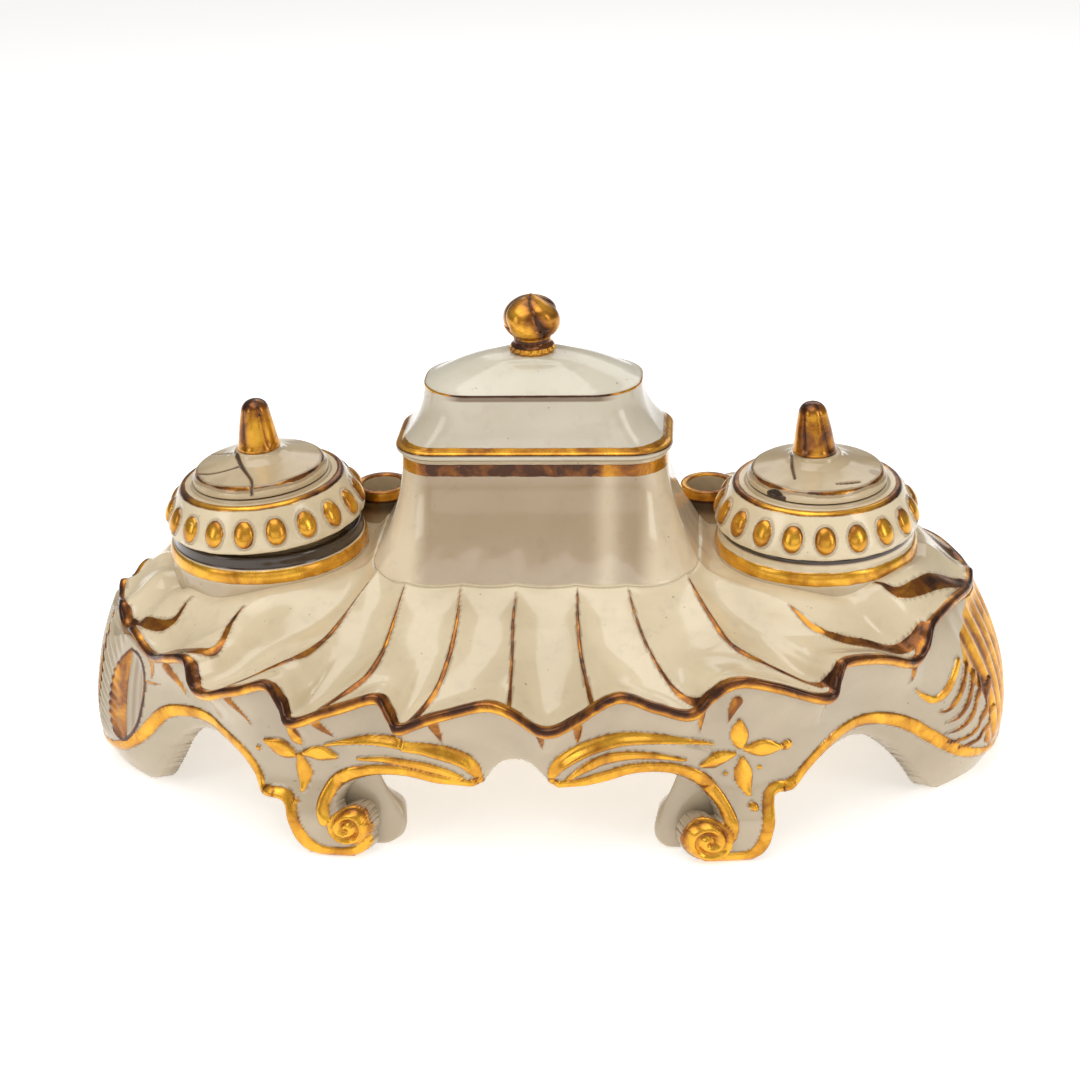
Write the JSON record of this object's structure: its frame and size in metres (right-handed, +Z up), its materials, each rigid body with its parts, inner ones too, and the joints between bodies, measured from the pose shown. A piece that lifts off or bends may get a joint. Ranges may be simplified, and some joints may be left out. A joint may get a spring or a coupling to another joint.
{
  "type": "desk inkstand",
  "caption": "Porcelain desk inkstand: fluted tray on scrolled legs and shell feet, with a lidded box, lift-out ink pots with lids, and quill tubes.",
  "frame": {"origin": "on the table, straight below the middle of the box", "axes": "+X to the right along the stand's length, front faces -Y, +Z up"},
  "size_m": [0.2991, 0.1652, 0.1499],
  "materials": {
    "porcelain": "warm ivory glaze, glossy, with fine specks",
    "gilding": "burnished gilding on glazed porcelain, worn to brown in the hollows"
  },
  "bodies": {
    "stand": {"fluted_tray": "porcelain", "rim_lip": "gilding", "box_body": "porcelain", "left_well": "porcelain", "right_well": "porcelain", "left_quill_tube": "porcelain", "right_quill_tube": "porcelain", "front_apron": "porcelain", "rear_apron": "porcelain", "front_left_side_apron": "porcelain", "front_right_side_apron": "porcelain", "rear_left_side_apron": "porcelain", "rear_right_side_apron": "porcelain", "front_left_leg": "porcelain", "front_right_leg": "porcelain", "rear_left_leg": "porcelain", "rear_right_leg": "porcelain", "left_end_shell": "porcelain", "right_end_shell": "porcelain"},
    "box_lid": {"box_lid": "porcelain", "box_knob": "gilding"},
    "left_pot": {"left_ink_pot": "porcelain", "left_pot_collar": "porcelain"},
    "left_pot_lid": {"left_pot_lid": "porcelain", "left_finial": "gilding"},
    "right_pot": {"right_ink_pot": "porcelain", "right_pot_collar": "porcelain"},
    "right_pot_lid": {"right_pot_lid": "porcelain", "right_finial": "gilding"}
  },
  "joints": [
    {"name": "box_lid_lift", "type": "slide", "parent": "stand", "child": "box_lid", "axis": [0, 0, 1], "range_m": [0, 0.05]},
    {"name": "left_pot_lift", "type": "slide", "parent": "stand", "child": "left_pot", "axis": [0, 0, 1], "range_m": [0, 0.06]},
    {"name": "right_pot_lift", "type": "slide", "parent": "stand", "child": "right_pot", "axis": [0, 0, 1], "range_m": [0, 0.06]},
    {"name": "left_pot_lid_lift", "type": "slide", "parent": "left_pot", "child": "left_pot_lid", "axis": [-0.0558, 0, 0.9984], "range_m": [0, 0.025]},
    {"name": "right_pot_lid_lift", "type": "slide", "parent": "right_pot", "child": "right_pot_lid", "axis": [0, 0, 1], "range_m": [0, 0.025]}
  ]
}
